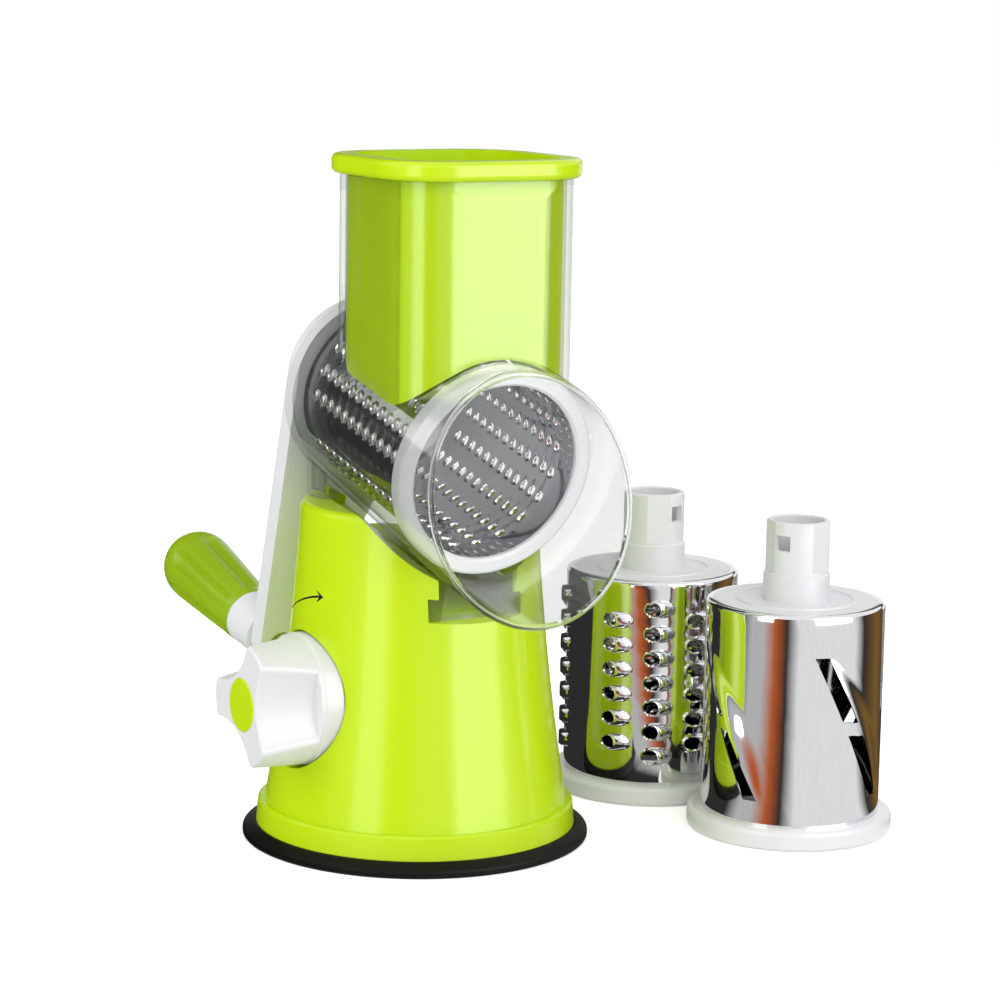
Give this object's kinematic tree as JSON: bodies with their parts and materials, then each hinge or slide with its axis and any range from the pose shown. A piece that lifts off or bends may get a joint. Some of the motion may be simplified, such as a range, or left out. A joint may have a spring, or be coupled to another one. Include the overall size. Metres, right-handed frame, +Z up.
{
  "type": "rotary vegetable shredder",
  "caption": "Hand cranked drum shredder with a suction foot, clamp knob, clear housing with a feed chute, hollow pusher and changeable steel drums.",
  "frame": {"origin": "centre of the suction foot's underside, on the worktop", "axes": "+Z up, -Y the side where cut food leaves the drum's mouth, +Y the crank side, -X the clamp knob"},
  "size_m": [0.2341, 0.2453, 0.2455],
  "materials": {
    "green_body": "glossy lime green moulding",
    "clear_plastic": "clear moulding, polished",
    "white_plastic": "white moulding",
    "dark_plastic": "dark moulding",
    "drum_steel": "bright polished steel sheet",
    "screw_steel": "plain",
    "black_rubber": "smooth soft rubber"
  },
  "bodies": {
    "base": {"base_shell": "green_body", "base_plate": "dark_plastic", "base_screws": "screw_steel", "shaft_bushing": "dark_plastic", "suction_cup": "black_rubber"},
    "lifter": {"lift_disc": "white_plastic", "lift_stem": "white_plastic"},
    "clamp": {"knob": "white_plastic", "knob_cap": "green_body", "knob_screw": "screw_steel", "cam_shaft": "screw_steel", "cam": "white_plastic"},
    "feed_housing": {"housing": "clear_plastic"},
    "feed_pusher": {"pusher": "green_body"},
    "crank": {"crank_arm": "white_plastic", "arm_cover": "white_plastic", "latch_leaf": "white_plastic", "grip_pin": "screw_steel", "grip_clip": "screw_steel"},
    "button": {"release_button": "green_body"},
    "handle": {"grip": "green_body"},
    "fine_drum": {"fine_drum_ring": "white_plastic", "fine_drum_shell": "drum_steel", "fine_drum_hub": "white_plastic"},
    "coarse_drum": {"coarse_drum_ring": "white_plastic", "coarse_drum_shell": "drum_steel", "coarse_drum_hub": "white_plastic"},
    "slicer_drum": {"slicer_drum_ring": "white_plastic", "slicer_drum_shell": "drum_steel", "slicer_drum_hub": "white_plastic"}
  },
  "joints": [
    {"name": "suction_lock", "type": "hinge", "parent": "base", "child": "clamp", "pos_m": [-0.0415, 0, 0.054], "axis": [1, 0, 0], "range_deg": [0, 90]},
    {"name": "suction_lift", "type": "slide", "parent": "base", "child": "lifter", "axis": [0, 0, 1], "range_m": [0, 0.00301], "deforming": ["suction_cup"]},
    {"name": "housing_slide", "type": "slide", "parent": "base", "child": "feed_housing", "axis": [0, 0.9739, 0.2272], "range_m": [0, 0.09]},
    {"name": "pusher_slide", "type": "slide", "parent": "feed_housing", "child": "feed_pusher", "axis": [0, 0, 1], "range_m": [0, 0.09]},
    {"name": "crank_spin", "type": "hinge", "parent": "feed_housing", "child": "crank", "pos_m": [0, -0.0545, 0.1391], "axis": [0, 0.9739, 0.2272], "continuous": true},
    {"name": "drum_pull", "type": "slide", "parent": "crank", "child": "fine_drum", "axis": [0, -0.9739, -0.2272], "range_m": [0, 0.118]},
    {"name": "release_press", "type": "slide", "parent": "crank", "child": "button", "axis": [0, -0.9739, -0.2272], "range_m": [0, 0.003], "stiffness_N_per_m": 600},
    {"name": "grip_spin", "type": "hinge", "parent": "crank", "child": "handle", "pos_m": [-0.02219, 0.11571, 0.06974], "axis": [0, 0.9739, 0.2272], "continuous": true},
    {"name": "coarse_drum_lift", "type": "slide", "parent": "base", "child": "coarse_drum", "axis": [0, 0, 1], "range_m": [0, 0.05]},
    {"name": "slicer_drum_lift", "type": "slide", "parent": "base", "child": "slicer_drum", "axis": [0, 0, 1], "range_m": [0, 0.05]}
  ],
  "couplings": [
    {"joint": "suction_lift", "follows": "suction_lock", "m_per_rad": 0.0019099}
  ]
}
